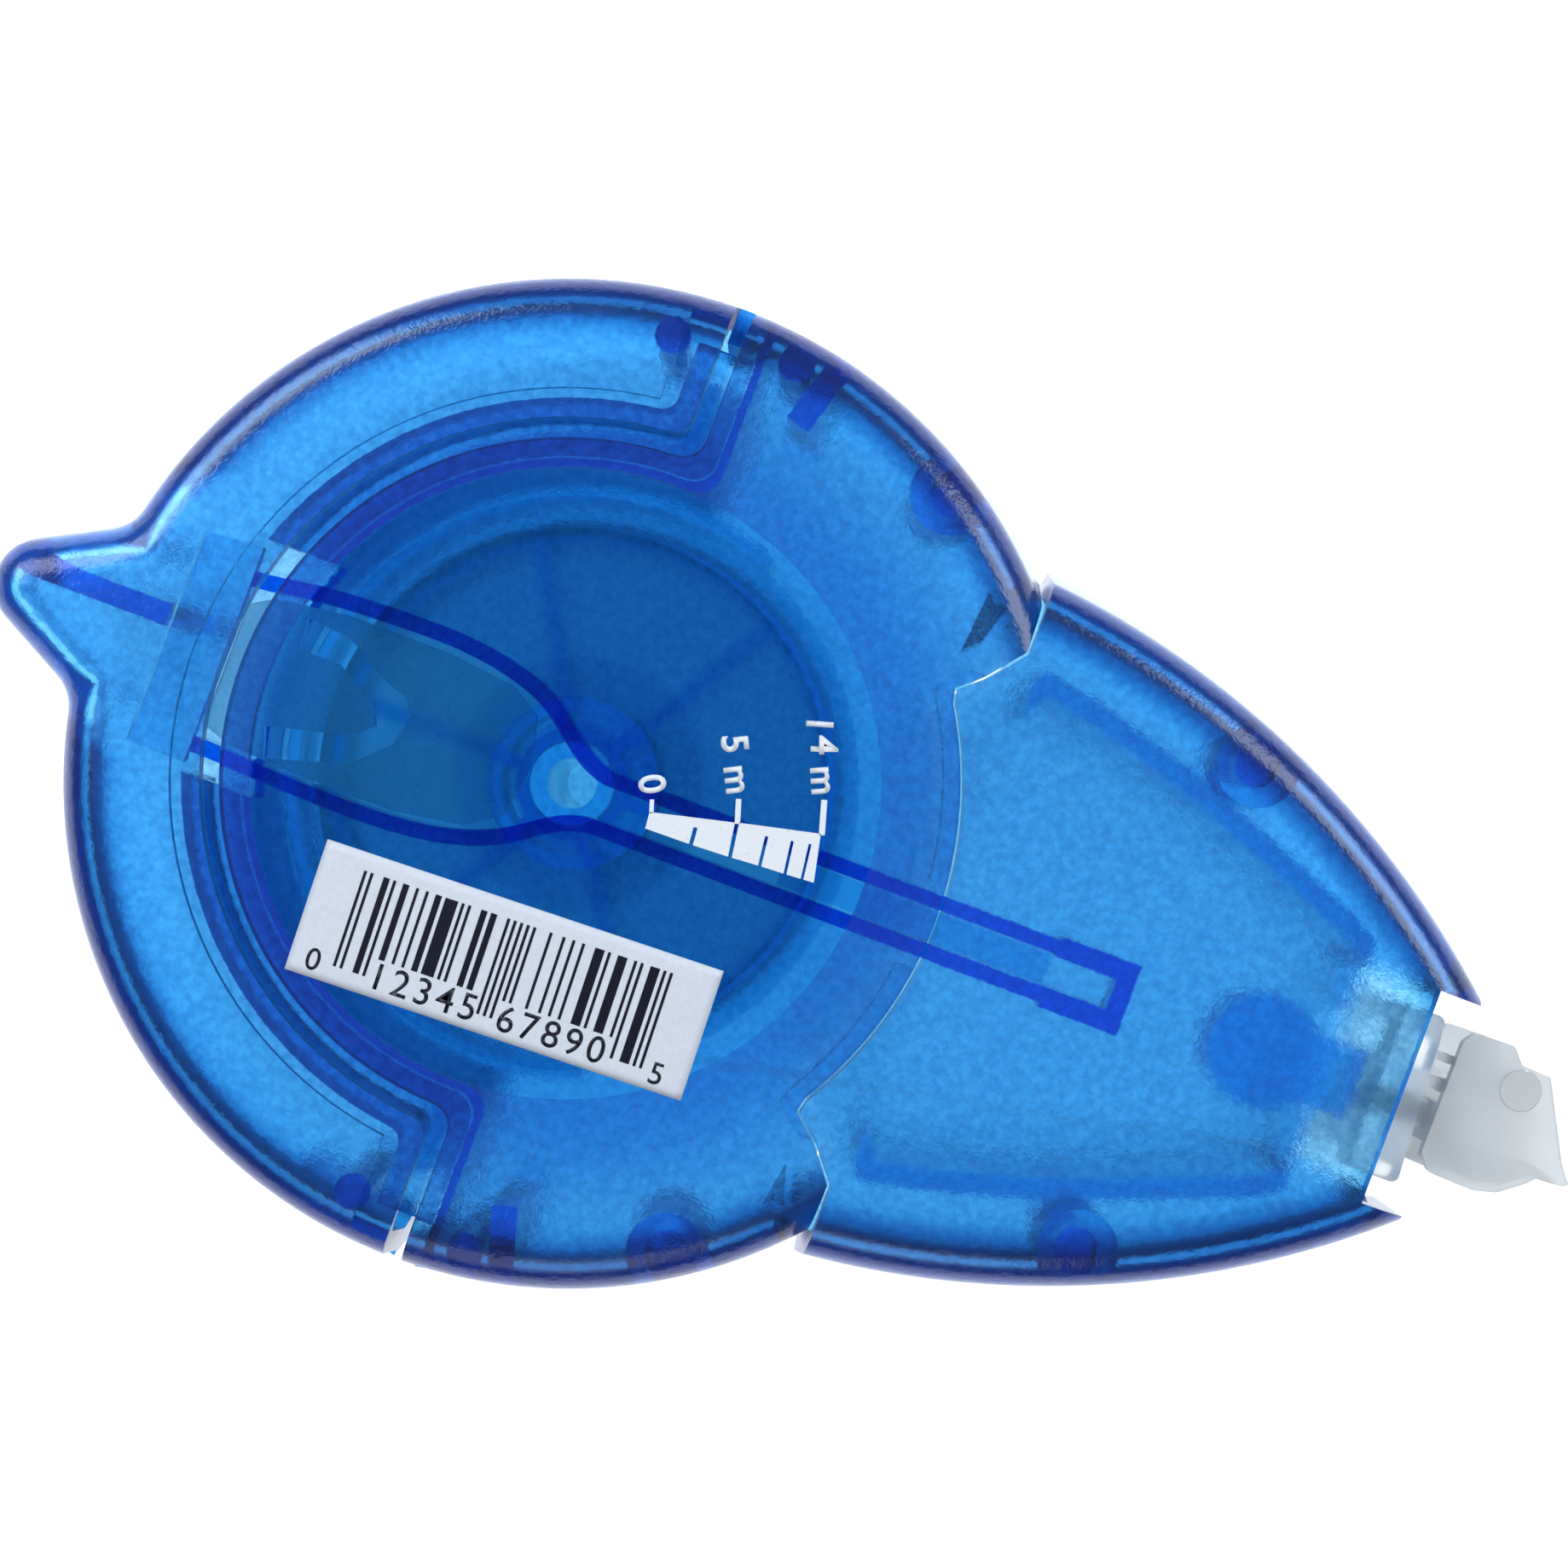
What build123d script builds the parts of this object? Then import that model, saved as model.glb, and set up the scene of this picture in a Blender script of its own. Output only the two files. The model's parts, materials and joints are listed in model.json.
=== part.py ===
"""Correction tape roller: a blue clear shell with a sliding tail, coaxial reels and a swivelling tip.

Row frame: origin at the bottom centre of the bounding box, +X from the tail tab to the tip,
+Z up along the reel axis; the roller lies on its flat back face at Z = 0.  Millimetres.
All sketches are drawn about the reel axis and placed at (AXIS_X, AXIS_Y).
"""
import os
from math import acos, asin, atan2, cos, degrees, radians, sin, sqrt

from build123d import *

# ---------------------------------------------------------------- driving dimensions
AXIS_X, AXIS_Y = -14.375, 0.40     # reel axis in the row frame
THICK = 20.0                       # whole thickness of the shell
MID = THICK / 2                    # parting plane of the front and back halves
WALL = 1.5                         # moulded wall
DRAFT = 1.76                       # inset of the side wall between parting plane and face
CAV_DRAFT = 1.50                   # the same for the cavity
EDGE_R, CAV_EDGE_R = 2.8, 1.4      # rounding of the outer and inner face edges
BODY_R = 32.2                      # round body
TAB_X, TAB_R, TAB_SLOPE = -34.3, 4.3, 28.0   # thumb tab: tip centre, tip radius, side slope
TAB_NECK_R = 1.5                   # hollow corner between the tab and the round body
LEAF_X, LEAF_Y, LEAF_R = 17.8, 36.0, 59.5    # two arcs that make the pointed nose
MOUTH_X, LIP_X, LIP_Y = 53.6, 56.6, 6.8      # end of the nose and its two lips
SEAM_GAP = 0.2                     # line between the middle and the nose
COVER_R, COVER_X = 20.8, 0.7       # edge of the middle part
RIM_R, RIM_X = 22.1, -0.5          # edge of the tail part
STEP_R, STEP_X = 23.8, -2.8        # raised face of the tail part
SKIRT, SKIRT_IN = 1.6, 1.0         # thin side wall of the middle part, set in from its edge
FLANGE_OUT, FLANGE_REACH = 2.6, 27.9   # flange of the middle part under the tail rim: width and outer end
MOUTH_HALF = 7.5                   # opening for the guide tongue
SLIDE = 28.0                       # travel of the tail
BOSSES = [(15.6, 24.5), (15.6, -24.5), (38.8, 15.6), (38.8, -15.6)]
BOSS_R, PIN_R, BORE_R = 2.5, 1.25, 1.30
PIN_TOP, BORE_TOP = 16.0, 17.2                    # pins of the back half reach into the bored bosses of the front half
POST_R, POST_BORE = 2.60, 2.66     # centre spindle and the reels' bore
REEL_R = 17.8                      # reel flanges
ROLL_R, ROLL_IN = 15.85, 5.40      # full roll: outer and inner radius
ROLL_Z0, ROLL_Z1 = 9.45, 14.45     # 5 mm tape on the supply reel
TAKE_R = 16.5                      # take-up core
WRAP_R = 16.9                      # spent tape on the take-up core
TAKE_Z0, TAKE_Z1 = 3.45, 8.40      # winding space of the take-up reel
FRAME_TOP = 13.5                   # top of the refill frame's side bars
SHAFT_Y = -0.80                    # swivel axis of the tip, at the parting height
TONGUE_Z0, TONGUE_Z1 = 16.1, 18.2  # rails of the guide tongue under the cover
ROOT_X, ROOT_T = 22.2, 0.8         # where the rails start, and thickness of the plate that holds them
TAPE_T = 0.12                      # drawn thickness of the tape run

UPPER = [(-24.7, 5.46), (-22.5, 5.42), (-18.3, 5.96), (-14.0, 6.26), (-9.5, 6.31), (-4.8, 5.62),
         (-2.2, 4.55), (0.3, 2.62), (2.6, 1.62)]
LOWER = [(-24.7, -6.10), (-22.4, -6.2), (-18.2, -6.4), (-13.6, -6.56), (-9.2, -6.5), (-4.9, -5.83),
         (-1.9, -4.55), (0.5, -2.95), (2.6, -2.38)]

os.makedirs("parts", exist_ok=True)


def level(z):
    """Plane at height z, centred on the reel axis."""
    return Plane(origin=(AXIS_X, AXIS_Y, z))


# ---------------------------------------------------------------- outlines
def body_face(z, inset):
    """Round body with the thumb tab, drawn `inset` inside the outer outline."""
    tip = TAB_R - inset
    s, c = sin(radians(TAB_SLOPE)), cos(radians(TAB_SLOPE))
    tx, ty = TAB_X - tip * s, tip * c
    far = (tx + 12.0, ty + 12.0 * s / c)
    with BuildSketch(level(z)) as sk:
        Circle(BODY_R - inset)
        with BuildLine():
            Polyline([(tx, ty), far, (far[0], -far[1]), (tx, -ty)])
            ThreePointArc((tx, -ty), (TAB_X - tip, 0), (tx, ty))
        make_face()
        corners = [v for v in sk.vertices()
                   if -35.0 < v.X < -28.0 and 5.0 < abs(v.Y) < 9.0]
        fillet(corners, TAB_NECK_R + inset)
    return sk


def leaf_face(z, inset):
    with BuildSketch(level(z)) as sk:
        with Locations((31.5, 0)):
            Rectangle(55.0, 60.0)
        with Locations((LEAF_X, -LEAF_Y)):
            Circle(LEAF_R - inset, mode=Mode.INTERSECT)
        with Locations((LEAF_X, LEAF_Y)):
            Circle(LEAF_R - inset, mode=Mode.INTERSECT)
    return sk


def top_edges(builder, z, least):
    return [e for e in builder.edges()
            if abs(e.center().Z - z) < 1e-3 and abs(e.bounding_box().size.Z) < 1e-3 and e.length > least]


def long_pair(edges):
    return sorted(edges, key=lambda e: e.length)[-2:]


with BuildPart() as body_blank:
    add(body_face(MID, 0.0).sketch)
    add(body_face(THICK, DRAFT).sketch)
    loft(ruled=True)
    fillet(top_edges(body_blank, THICK, 0.2), EDGE_R)

with BuildPart() as body_cavity:
    add(body_face(MID, WALL).sketch)
    add(body_face(THICK - WALL, WALL + CAV_DRAFT).sketch)
    loft(ruled=True)
    fillet(top_edges(body_cavity, THICK - WALL, 0.2), CAV_EDGE_R)

with BuildPart() as leaf_blank:
    add(leaf_face(MID, 0.0).sketch)
    add(leaf_face(THICK, DRAFT).sketch)
    loft(ruled=True)
    fillet(long_pair(top_edges(leaf_blank, THICK, 20.0)), EDGE_R)

with BuildPart() as leaf_cavity:
    add(leaf_face(MID, WALL).sketch)
    add(leaf_face(THICK - WALL, WALL + CAV_DRAFT).sketch)
    loft(ruled=True)
    fillet(long_pair(top_edges(leaf_cavity, THICK - WALL, 20.0)), CAV_EDGE_R)



# ---------------------------------------------------------------- regions seen from above
def seam_points(shift):
    """The line between the middle part and the nose, moved by `shift` along X."""
    half = [(23.3, 40.0), (23.3, 17.1), (21.6, 15.0), (20.0, 13.6), (20.2, 12.7)]
    return [(x + shift, y) for x, y in half]


def nose_region(z, shift):
    up = seam_points(shift)
    with BuildSketch(level(z)) as sk:
        with BuildLine():
            Polyline([(90.0, 40.0)] + up)
            ThreePointArc(up[-1], (23.8 + shift, 0.0), (up[-1][0], -up[-1][1]))
            Polyline([(x, -y) for x, y in reversed(up)] + [(90.0, -40.0), (90.0, 40.0)])
        make_face()
    return sk


def middle_region(z, grow, seam_shift, corner):
    """Inside the edge of the middle part grown by `grow`, left of the nose line."""
    radius, side = COVER_R + grow, COVER_X - grow
    with BuildSketch(level(z)) as sk:
        Circle(radius)
        with Locations((side + 25.0, 0)):
            Rectangle(50.0, 90.0)
        hooks = [v for v in sk.vertices() if abs(v.X - side) < 0.5 and 15.0 < abs(v.Y) < 30.0]
        fillet(hooks, corner)
        add(nose_region(z, seam_shift).sketch_local, mode=Mode.SUBTRACT)
    return sk


def tail_region(z, grow, corner):
    """Outside the edge of the tail part; `grow` moves the edge away from the middle."""
    radius, side = RIM_R + grow, RIM_X - grow
    with BuildSketch(level(z)) as sk:
        with Locations((side - 30.0, 0)):
            Rectangle(60.0, 90.0)
        Circle(radius, mode=Mode.SUBTRACT)
        hooks = [v for v in sk.vertices() if abs(v.X - side) < 0.5 and 15.0 < abs(v.Y) < 30.0]
        fillet(hooks, corner)
    return sk


def bar_face(z, p, q, width):
    """A straight rib from p to q, seen from above."""
    length = sqrt((q[0] - p[0]) ** 2 + (q[1] - p[1]) ** 2)
    turn = degrees(asin((q[1] - p[1]) / length)) if q[0] >= p[0] else 180 - degrees(asin((q[1] - p[1]) / length))
    with BuildSketch(level(z)) as sk:
        with Locations(Location(((p[0] + q[0]) / 2, (p[1] + q[1]) / 2, 0), (0, 0, turn))):
            Rectangle(length, width)
    return sk


# ---------------------------------------------------------------- half shells, front half
with BuildPart() as side_wall:
    with BuildSketch(level(MID)) as side_wall_sk:
        add(middle_region(MID, -SKIRT_IN, -1.0, 1.5).sketch_local)
        add(middle_region(MID, -SKIRT, 10.0, 1.5).sketch_local, mode=Mode.SUBTRACT)
        with Locations((30.0, 0)):
            Rectangle(50.0, 90.0, mode=Mode.SUBTRACT)
    extrude(amount=THICK - WALL - MID + 0.2)
    add(body_blank.part, mode=Mode.INTERSECT)

with BuildPart() as flange:
    with BuildSketch(level(THICK - 2.7)) as flange_sk:
        add(middle_region(THICK - 2.7, FLANGE_OUT, -1.0, 1.0).sketch_local)
        add(middle_region(THICK - 2.7, -1.3, 10.0, 1.5).sketch_local, mode=Mode.SUBTRACT)
        with Locations((30.0, 0)):
            Rectangle(50.0, 90.0, mode=Mode.SUBTRACT)
        Circle(FLANGE_REACH, mode=Mode.INTERSECT)
        with Locations((-22.0, 0)):
            Rectangle(12.0, 2 * MOUTH_HALF, mode=Mode.SUBTRACT)
    extrude(amount=1.1)
    with BuildSketch(level(THICK - 5.4)) as flange_lip_sk:
        add(middle_region(THICK - 5.4, FLANGE_OUT, -1.0, 1.0).sketch_local)
        add(middle_region(THICK - 5.4, FLANGE_OUT - 1.1, 10.0, 1.0).sketch_local, mode=Mode.SUBTRACT)
        with Locations((30.0, 0)):
            Rectangle(50.0, 90.0, mode=Mode.SUBTRACT)
        Circle(FLANGE_REACH, mode=Mode.INTERSECT)
        with Locations((-22.0, 0)):
            Rectangle(12.0, 2 * MOUTH_HALF, mode=Mode.SUBTRACT)
    extrude(amount=3.8)

with BuildPart() as middle_half:
    add(body_blank.part)
    add(body_cavity.part, mode=Mode.SUBTRACT)
    add(leaf_cavity.part, mode=Mode.SUBTRACT)
    extrude(middle_region(MID, 0.0, -SEAM_GAP / 2, 1.5).sketch, amount=MID, mode=Mode.INTERSECT)
    add(side_wall.part)
    add(flange.part)

with BuildPart() as nose_half:
    add(leaf_blank.part)
    add(leaf_cavity.part, mode=Mode.SUBTRACT)
    add(body_cavity.part, mode=Mode.SUBTRACT)
    extrude(nose_region(MID, SEAM_GAP / 2).sketch, amount=MID, mode=Mode.INTERSECT)
    with BuildSketch(level(MID)) as mouth_sk:
        with Locations((MOUTH_X + 15.0, 0)):
            Rectangle(30.0, 2 * LIP_Y)
        with Locations((LIP_X + 15.0, 0)):
            Rectangle(30.0, 60.0)
    extrude(amount=MID, mode=Mode.SUBTRACT)

with BuildPart() as tail_half:
    add(body_blank.part)
    add(body_cavity.part, mode=Mode.SUBTRACT)
    extrude(tail_region(MID, 0.0, 1.2).sketch, amount=MID, mode=Mode.INTERSECT)
    with BuildSketch(level(THICK - 0.5)) as step_sk:
        with Locations((STEP_X + 15.0, 0)):
            Rectangle(30.0, 90.0)
        Circle(STEP_R)
    extrude(amount=0.5, mode=Mode.SUBTRACT)
    extrude(bar_face(MID, (-37.6, 1.1), (-26.1, 1.1), 1.4).sketch, amount=THICK - WALL - MID + 0.2)
    with BuildSketch(level(MID)) as tail_posts_sk:
        with Locations((-3.5, 27.6), (-3.5, -27.6)):
            Circle(1.1)
    extrude(amount=THICK - WALL - MID)
    add(body_blank.part, mode=Mode.INTERSECT)



# ---------------------------------------------------------------- guide tongue of the tail
def inner_side(points, side):
    """The same wall line moved 1 mm towards the inside."""
    out = []
    for i, (x, y) in enumerate(points):
        x0, y0 = points[max(i - 1, 0)]
        x1, y1 = points[min(i + 1, len(points) - 1)]
        n = sqrt((x1 - x0) ** 2 + (y1 - y0) ** 2)
        out.append((x + side * (y1 - y0) / n, y - side * (x1 - x0) / n))
    return out


def tongue_face(z, outer_up, outer_low, tail_y, end_x, end_half, neck_y):
    """Spoon-shaped outline: head, straight handle and end block."""
    upper, lower = neck_y
    with BuildSketch(level(z)) as sk:
        with BuildLine():
            Spline(*outer_up)
            Polyline([outer_up[-1], (31.4, upper), (31.4, tail_y + end_half), (end_x, tail_y + end_half),
                      (end_x, tail_y - end_half), (31.4, tail_y - end_half), (31.4, lower), outer_low[-1]])
            Spline(*reversed(outer_low))
            Line(outer_low[0], outer_up[0])
        make_face()
    return sk


IN_UP, IN_LOW = inner_side(UPPER, 1.0), inner_side(LOWER, -1.0)
tongue_outer = tongue_face(TONGUE_Z0, UPPER, LOWER, -0.40, 36.5, 2.25, (UPPER[-1][1], LOWER[-1][1]))
tongue_inner = tongue_face(TONGUE_Z0, IN_UP, IN_LOW, -0.40, 35.3, 0.95, (IN_UP[-1][1], IN_LOW[-1][1]))

with BuildPart() as guide_tongue:
    extrude(tongue_outer.sketch, amount=TONGUE_Z1 - TONGUE_Z0)
    extrude(tongue_inner.sketch, amount=TONGUE_Z1 - TONGUE_Z0, mode=Mode.SUBTRACT)
    with BuildSketch(level(TONGUE_Z0)) as tongue_cut_sk:
        with Locations((-30.0, 0)):
            Rectangle(2 * (30.0 - ROOT_X), 30.0)
    extrude(amount=3.0, mode=Mode.SUBTRACT)

with BuildPart() as tongue_root:
    with BuildSketch(level(THICK - WALL - ROOT_T)) as root_sk:
        with BuildLine():
            Polyline([(-ROOT_X, 6.95), (-25.9, 6.6), (-25.9, -6.8), (-ROOT_X, -6.95), (-ROOT_X, 6.95)])
        make_face()
    extrude(amount=ROOT_T)

# ---------------------------------------------------------------- outer pieces
with BuildPart() as front_collars:
    with BuildSketch(level(MID)) as collar_sk:
        with Locations(*BOSSES):
            Circle(BOSS_R)
    extrude(amount=THICK - WALL - MID + 0.2)
    with BuildSketch(level(MID)) as over_frame_sk:
        with Locations((40.0, 0)):
            Rectangle(14.0, 50.0)
    extrude(amount=FRAME_TOP + 0.2 - MID, mode=Mode.SUBTRACT)

with BuildPart() as bores:
    with BuildSketch(level(MID)) as bore_sk:
        with Locations(*BOSSES):
            Circle(BORE_R)
    extrude(amount=BORE_TOP - MID)

with BuildPart() as trim_body:
    add(body_blank.part)
    mirror(body_blank.part, about=Plane.XY.offset(MID))

with BuildPart() as trim_leaf:
    add(leaf_blank.part)
    mirror(leaf_blank.part, about=Plane.XY.offset(MID))

with BuildPart() as middle_ribs:
    for side in (1, -1):
        extrude(bar_face(MID, (7.0, side * 30.6), (5.45, side * 25.2), 1.6).sketch,
                amount=THICK - WALL - MID + 0.2)
    with BuildSketch(level(MID)) as mid_posts_sk:
        with Locations((4.1, 28.6), (4.1, -28.6)):
            Circle(1.1)
    extrude(amount=THICK - WALL - MID + 0.2)
    add(body_blank.part, mode=Mode.INTERSECT)

with BuildPart() as middle_collars:
    add(front_collars.part)
    with BuildSketch(level(0)) as left_half_sk:
        with Locations((0, 0)):
            Rectangle(54.0, 80.0)
    extrude(amount=THICK, mode=Mode.INTERSECT)
    add(trim_body.part, mode=Mode.INTERSECT)

with BuildPart() as nose_collars:
    add(front_collars.part)
    with BuildSketch(level(0)) as right_half_sk:
        with Locations((50.0, 0)):
            Rectangle(46.0, 80.0)
    extrude(amount=THICK, mode=Mode.INTERSECT)
    add(trim_leaf.part, mode=Mode.INTERSECT)

with BuildPart() as middle_pins:
    with BuildSketch(level(WALL - 0.2)) as pin_mid_sk:
        with Locations(*BOSSES[:2]):
            Circle(PIN_R)
    extrude(amount=PIN_TOP - WALL + 0.2)

with BuildPart() as nose_pins:
    with BuildSketch(level(WALL - 0.2)) as pin_nose_sk:
        with Locations(*BOSSES[2:]):
            Circle(PIN_R)
    extrude(amount=PIN_TOP - WALL + 0.2)

with BuildPart() as gap_block:
    with BuildSketch(level(MID)) as gap_block_sk:
        with Locations((0.45, 31.0)):
            Rectangle(1.6, 5.0)
    extrude(amount=8.0)
    add(body_blank.part, mode=Mode.INTERSECT)

with BuildPart() as middle_front_shell:
    add(middle_half.part)
    add(middle_ribs.part)
    add(middle_collars.part)
    add(gap_block.part)
    add(bores.part, mode=Mode.SUBTRACT)
    with BuildSketch(level(THICK - 3.0)) as lip_sk:
        add(middle_region(THICK - 3.0, -1.6, -SEAM_GAP / 2, 1.5).sketch_local)
        add(middle_region(THICK - 3.0, -1.6, -1.1, 1.5).sketch_local, mode=Mode.SUBTRACT)
        with Locations((22.0, 0)):
            Rectangle(8.0, 30.0, mode=Mode.INTERSECT)
    extrude(amount=1.6)
    with BuildSketch(level(THICK - 5.6)) as slot_sk:
        with Locations((-20.0, 0)):
            Rectangle(12.0, 2 * MOUTH_HALF)
        with Locations((22.0, -0.5)):
            Rectangle(8.0, 5.4)
    extrude(amount=4.1, mode=Mode.SUBTRACT)
    with BuildSketch(level(THICK - WALL)) as recess_sk:
        add(tongue_inner.sketch_local)
        Circle(COVER_R - SKIRT, mode=Mode.INTERSECT)
    extrude(amount=0.7, mode=Mode.SUBTRACT)

with BuildPart() as middle_back_shell:
    mirror(middle_half.part, about=Plane.XY.offset(MID))
    mirror(middle_ribs.part, about=Plane.XY.offset(MID))
    with BuildSketch(level(2.6)) as grip_mid_sk:
        with BuildLine():
            Polyline([(0.85, -30.7), (0.85, -33.0), (2.4, -32.75), (4.3, -31.9), (4.3, -30.6), (0.85, -30.7)])
        make_face()
    extrude(amount=6.6)
    with BuildSketch(level(0)) as trim_mid_sk:
        Circle(40.0)
    extrude(amount=MID, mode=Mode.INTERSECT)
    add(middle_pins.part)

with BuildPart() as nose_front_shell:
    add(nose_half.part)
    add(nose_collars.part)
    add(bores.part, mode=Mode.SUBTRACT)

with BuildPart() as nose_back_shell:
    mirror(nose_half.part, about=Plane.XY.offset(MID))
    add(nose_pins.part)

with BuildPart() as tail_front_shell:
    add(tail_half.part)

with BuildPart() as tail_back_shell:
    mirror(tail_half.part, about=Plane.XY.offset(MID))
    with BuildSketch(level(2.6)) as grip_tail_sk:
        with BuildLine():
            Polyline([(-8.7, -30.2), (-8.7, -31.0), (-0.6, -32.8), (-0.6, -30.7), (-8.7, -30.2)])
        make_face()
    extrude(amount=6.6)

# ---------------------------------------------------------------- refill frame and reels
FRAME_LINE = [(23.2, 12.6), (25.6, 16.3), (29.9, 15.4), (36.3, 13.4), (42.0, 11.3), (48.5, 8.8), (51.4, 7.0)]


def frame_face(z, grow):
    pts = [(x, y) for x, y in FRAME_LINE] + [(x, -y) for x, y in reversed(FRAME_LINE)]
    with BuildSketch(level(z)) as sk:
        with BuildLine():
            Polyline(pts + [pts[0]])
        make_face()
        offset(amount=grow, kind=Kind.INTERSECTION, mode=Mode.REPLACE)
    return sk


with BuildPart() as refill_frame:
    with BuildSketch(level(1.8)) as base_sk:
        Circle(19.2)
        add(frame_face(1.8, 0.7).sketch_local)
        with Locations((21.0, 0)):
            Rectangle(7.0, 24.0)
        add(frame_face(1.8, -2.2).sketch_local, mode=Mode.SUBTRACT)
        Circle(POST_BORE, mode=Mode.SUBTRACT)
    extrude(amount=0.8)
    with BuildSketch(level(2.5)) as ring_sk:
        Circle(19.2)
        Circle(18.4, mode=Mode.SUBTRACT)
        with BuildLine():
            Polyline([(0, 0), (12.0, 33.0), (40.0, 33.0), (40.0, -33.0), (12.0, -33.0), (0, 0)])
        make_face(mode=Mode.SUBTRACT)
    extrude(amount=5.9)
    with BuildSketch(level(2.5)) as frame_sk:
        add(frame_face(2.5, 0.7).sketch_local)
        add(frame_face(2.5, -0.7).sketch_local, mode=Mode.SUBTRACT)
        with Locations((22.0, 0)):
            Rectangle(5.4, 60.0, mode=Mode.SUBTRACT)
        with Locations((52.6, 0)):
            Rectangle(4.2, 60.0, mode=Mode.SUBTRACT)
    extrude(amount=11.0)
    with BuildSketch(level(2.5)) as mouth_wall_sk:
        with Locations((51.4, 5.6), (51.4, -5.6)):
            Rectangle(1.4, 4.2)
    extrude(amount=4.4)

with BuildPart() as anchor_plate:
    with BuildSketch(level(MID - 1.5)) as anchor_sk:
        with Locations((46.8, -0.65)):
            Circle(3.7)
        with Locations((50.0, -0.65)):
            Rectangle(6.0, 4.6)
    extrude(amount=3.0)

with BuildPart() as neck_plate:
    with BuildSketch(level(4.2)) as neck_sk:
        with BuildLine():
            Polyline([(53.1, 5.4), (55.75, 5.4), (56.45, -5.3), (53.1, -5.3), (53.1, 5.4)])
        make_face()
        fillet([v for v in neck_sk.vertices() if v.X > 55.0], 0.5)
    extrude(amount=11.6)
    with BuildSketch(level(7.2)) as tape_slot_sk:
        with Locations((54.5, 2.85)):
            Rectangle(5.0, 1.9)
        with Locations((55.0, -5.25)):
            Rectangle(5.0, 1.7)
    extrude(amount=5.6, mode=Mode.SUBTRACT)
    with BuildSketch(Plane(origin=(AXIS_X + 50.0, AXIS_Y, 0), x_dir=(0, 1, 0), z_dir=(1, 0, 0))) as shaft_hole_sk:
        with Locations((SHAFT_Y, MID)):
            Circle(1.0)
    extrude(amount=9.0, mode=Mode.SUBTRACT)

with BuildPart() as spindle:
    with BuildSketch(level(WALL)) as spindle_sk:
        Circle(POST_R)
    extrude(amount=13.65)
    with BuildSketch(level(WALL)) as spindle_bore_sk:
        Circle(1.55)
    extrude(amount=13.65, mode=Mode.SUBTRACT)

with BuildPart() as hub_cap:
    with BuildSketch(level(15.2)) as cap_sk:
        Circle(7.9)
        with BuildLine():
            Polyline([(0, 0), (7.9 * cos(radians(47.5)) * 2, 7.9 * sin(radians(47.5)) * 2), (-30.0, 30.0),
                      (-30.0, -30.0), (7.9 * cos(radians(52.5)) * 2, -7.9 * sin(radians(52.5)) * 2), (0, 0)])
        make_face(mode=Mode.SUBTRACT)
        Circle(4.1)
    extrude(amount=0.5)
    with BuildSketch(level(15.15)) as cap_seat_sk:
        Circle(2.6)
    extrude(amount=0.1)

with BuildPart() as takeup_reel:
    with BuildSketch(level(2.75)) as take_flange_sk:
        Circle(REEL_R)
        Circle(POST_BORE, mode=Mode.SUBTRACT)
    extrude(amount=TAKE_Z0 - 0.05 - 2.75)
    with BuildSketch(level(3.3)) as take_core_sk:
        Circle(TAKE_R)
        Circle(TAKE_R - 1.0, mode=Mode.SUBTRACT)
        Circle(4.4)
        Circle(POST_BORE, mode=Mode.SUBTRACT)
        with PolarLocations(10.0, 6):
            Rectangle(12.0, 1.0)
    extrude(amount=5.1)

with BuildPart() as takeup_tape_wrap:
    with BuildSketch(level(TAKE_Z0)) as wrap_sk:
        Circle(WRAP_R)
        Circle(TAKE_R, mode=Mode.SUBTRACT)
    extrude(amount=TAKE_Z1 - TAKE_Z0)

with BuildPart() as clutch_ring:
    with BuildSketch(level(8.47)) as clutch_sk:
        Circle(8.2)
        Circle(POST_BORE + 0.1, mode=Mode.SUBTRACT)
    extrude(amount=0.38)

with BuildPart() as supply_reel:
    with BuildSketch(level(8.9)) as low_flange_sk:
        Circle(REEL_R)
        Circle(POST_BORE, mode=Mode.SUBTRACT)
    extrude(amount=0.5)
    with BuildSketch(level(9.3)) as supply_hub_sk:
        Circle(ROLL_IN)
        Circle(ROLL_IN - 0.9, mode=Mode.SUBTRACT)
        Circle(POST_BORE + 0.85)
        Circle(POST_BORE, mode=Mode.SUBTRACT)
        with PolarLocations(3.9, 6):
            Rectangle(2.4, 0.8)
    extrude(amount=5.2)

with BuildPart() as supply_flange:
    with BuildSketch(level(14.5)) as up_flange_sk:
        Circle(REEL_R)
        Circle(POST_BORE, mode=Mode.SUBTRACT)
    extrude(amount=0.45)
    with BuildSketch(level(14.9)) as up_ring_sk:
        Circle(6.4)
        Circle(5.5, mode=Mode.SUBTRACT)
    extrude(amount=0.2)

with BuildPart() as supply_tape_roll:
    with BuildSketch(level(ROLL_Z0)) as roll_sk:
        Circle(ROLL_R)
        Circle(ROLL_IN, mode=Mode.SUBTRACT)
    extrude(amount=ROLL_Z1 - ROLL_Z0)

# ---------------------------------------------------------------- tip
HEAD = [(58.00, 4.4), (58.55, 5.22), (61.16, 5.28), (61.97, 4.33), (63.94, 4.23), (66.47, -0.57),
        (67.35, -1.70), (67.0, -2.0), (65.37, -1.99), (64.84, -2.56), (63.29, -3.77), (61.78, -4.17),
        (58.82, -4.07), (57.95, -3.02)]


def head_face(z):
    with BuildSketch(level(z)) as sk:
        with BuildLine():
            Polyline(HEAD + [HEAD[0]])
        make_face()
        fillet([v for v in sk.vertices() if v.X < 61.5 and v.Y > 4.3], 0.45)
        fillet([v for v in sk.vertices() if v.X < 59.5 and v.Y < -2.5], 0.5)
    return sk


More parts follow.
